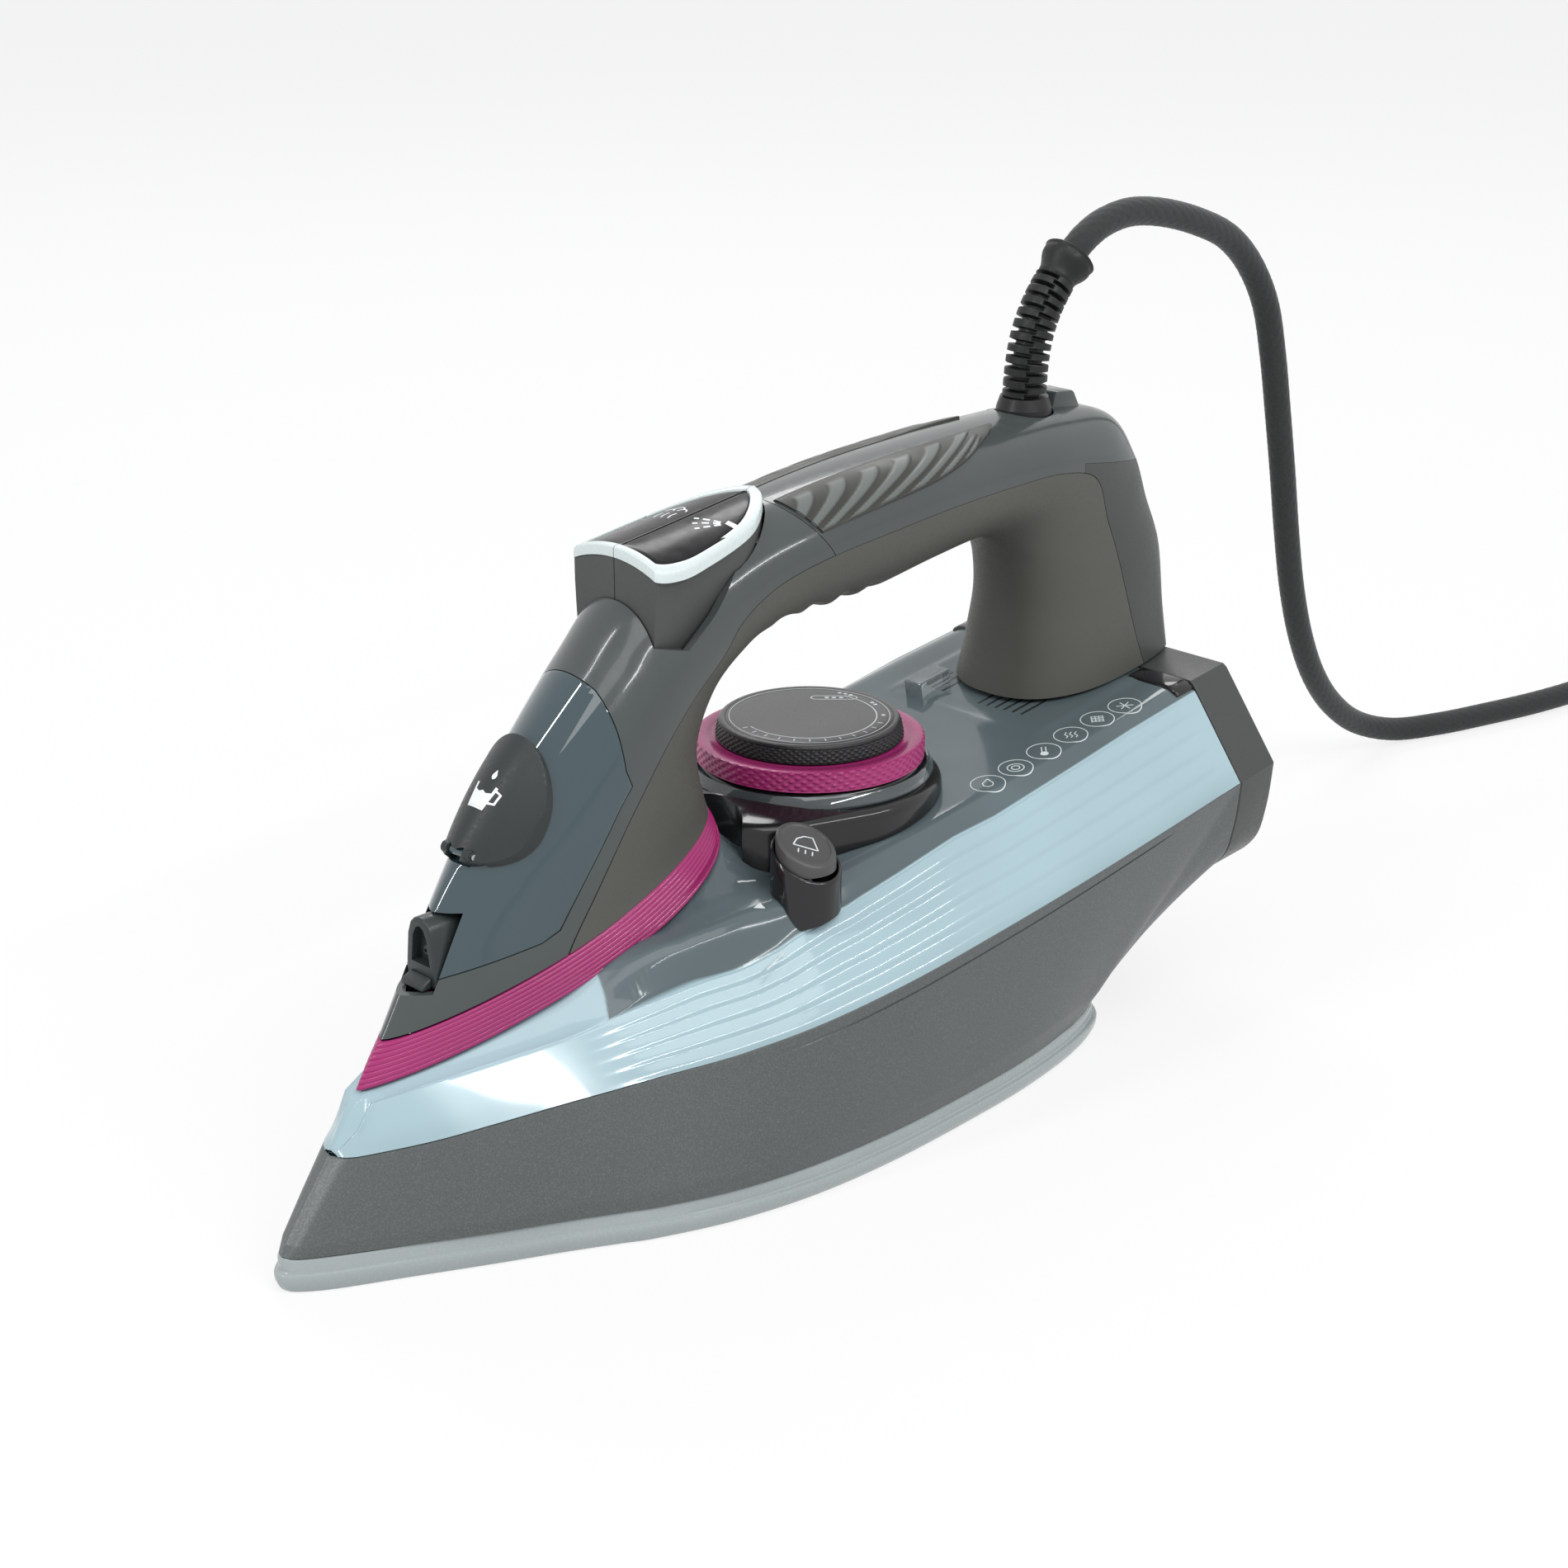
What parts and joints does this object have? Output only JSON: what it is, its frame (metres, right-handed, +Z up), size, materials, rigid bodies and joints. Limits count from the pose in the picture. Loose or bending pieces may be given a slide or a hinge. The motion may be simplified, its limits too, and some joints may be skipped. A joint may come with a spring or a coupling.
{
  "type": "steam iron",
  "caption": "Household steam iron with looped handle, clear water tank, temperature dial, steam and spray buttons, filler flap, spray nozzle and a braided mains cord on a swivel.",
  "frame": {"origin": "on the ironing face, in the middle plane, 123.5 mm behind the soleplate's tip", "axes": "+X from the nose to the heel, +Z up from the ironing face"},
  "size_m": [0.69, 0.1716, 0.2152],
  "materials": {
    "sole_rim": "gloss",
    "casting": "matte",
    "steel": "satin",
    "element": "matte",
    "skirt_plastic": "fine metallic",
    "tank_blue": "satin",
    "tank_clear": "gloss",
    "magenta": "gloss",
    "black_rubber": "matte",
    "handle_gloss": "gloss",
    "handle_matte": "matte",
    "inlay_dark": "satin",
    "window_clear": "gloss",
    "black_matte": "matte",
    "black_gloss": "gloss",
    "white_plastic": "satin",
    "rim_pale": "satin",
    "knob_grey": "satin",
    "clear": "gloss",
    "lamp_red": "gloss",
    "brass": "satin",
    "braid": "braided"
  },
  "bodies": {
    "root": {"soleplate": "sole_rim", "heater_casting": "casting", "heating_element": "element", "steam_chamber_cover": "steel", "thermostat": "steel", "thermal_fuse": "white_plastic", "heat_shield": "steel", "skirt": "skirt_plastic", "tank_floor": "tank_blue", "tank_shell": "tank_clear", "band_seal": "magenta", "rear_seal": "black_rubber", "steam_valve": "white_plastic", "front_shell": "handle_gloss", "top_cover": "handle_gloss", "handle_grip": "handle_matte", "leg_back": "black_matte", "grip_inlay": "inlay_dark", "filler_window": "window_clear", "filler_duct": "window_clear", "spray_nozzle": "black_matte", "nozzle_tip": "brass", "pump_block": "white_plastic", "dip_tubes": "white_plastic", "spray_hose": "white_plastic", "dial_base": "black_gloss", "shaft_sleeve": "tank_clear", "pilot_lens": "clear", "pilot_lamp": "lamp_red", "clean_housing": "black_matte", "rear_cover": "handle_matte", "terminal_block": "white_plastic", "inner_lead": "black_rubber", "cover_screws": "steel", "casting_screws": "steel", "cord_socket": "black_matte", "steam_spring": "steel", "spray_spring": "steel"},
    "dial": {"dial_knob": "knob_grey", "dial_ring": "magenta", "dial_shaft": "steel"},
    "steam_key": {"steam_button": "handle_matte", "steam_rim": "rim_pale", "steam_cap": "black_gloss"},
    "spray_key": {"spray_button": "handle_matte", "spray_rim": "rim_pale", "spray_cap": "black_gloss"},
    "clean_key": {"clean_button": "black_matte", "clean_rod": "steel"},
    "flap": {"filler_flap": "black_matte", "flap_pin": "steel"},
    "cord_swivel": {"cord_hub": "black_rubber", "strain_relief": "black_rubber", "cord_tube": "braid", "cord_coil": "braid", "cord_tie": "black_rubber", "plug": "black_rubber", "plug_pins": "brass"}
  },
  "joints": [
    {"name": "dial_turn", "type": "hinge", "parent": "root", "child": "dial", "pos_m": [0.0505, 0, 0.0874], "axis": [0, 0, 1], "range_deg": [-135, 135]},
    {"name": "steam_press", "type": "slide", "parent": "root", "child": "steam_key", "axis": [0, 0, -1], "range_m": [0, 0.003], "stiffness_N_per_m": 600, "springref_m": -0.0025, "deforming": ["steam_spring"]},
    {"name": "spray_press", "type": "slide", "parent": "root", "child": "spray_key", "axis": [0, 0, -1], "range_m": [0, 0.003], "stiffness_N_per_m": 600, "springref_m": -0.0025, "deforming": ["spray_spring"]},
    {"name": "clean_press", "type": "slide", "parent": "root", "child": "clean_key", "axis": [0, 0, -1], "range_m": [0, 0.003], "stiffness_N_per_m": 500, "springref_m": -0.002},
    {"name": "flap_open", "type": "hinge", "parent": "root", "child": "flap", "pos_m": [-0.06535, 0, 0.09325], "axis": [0, -1, 0], "range_deg": [0, 80]},
    {"name": "cord_turn", "type": "hinge", "parent": "root", "child": "cord_swivel", "pos_m": [0.132, 0, 0.16], "axis": [0, 0, 1], "range_deg": [-30, 30]}
  ]
}
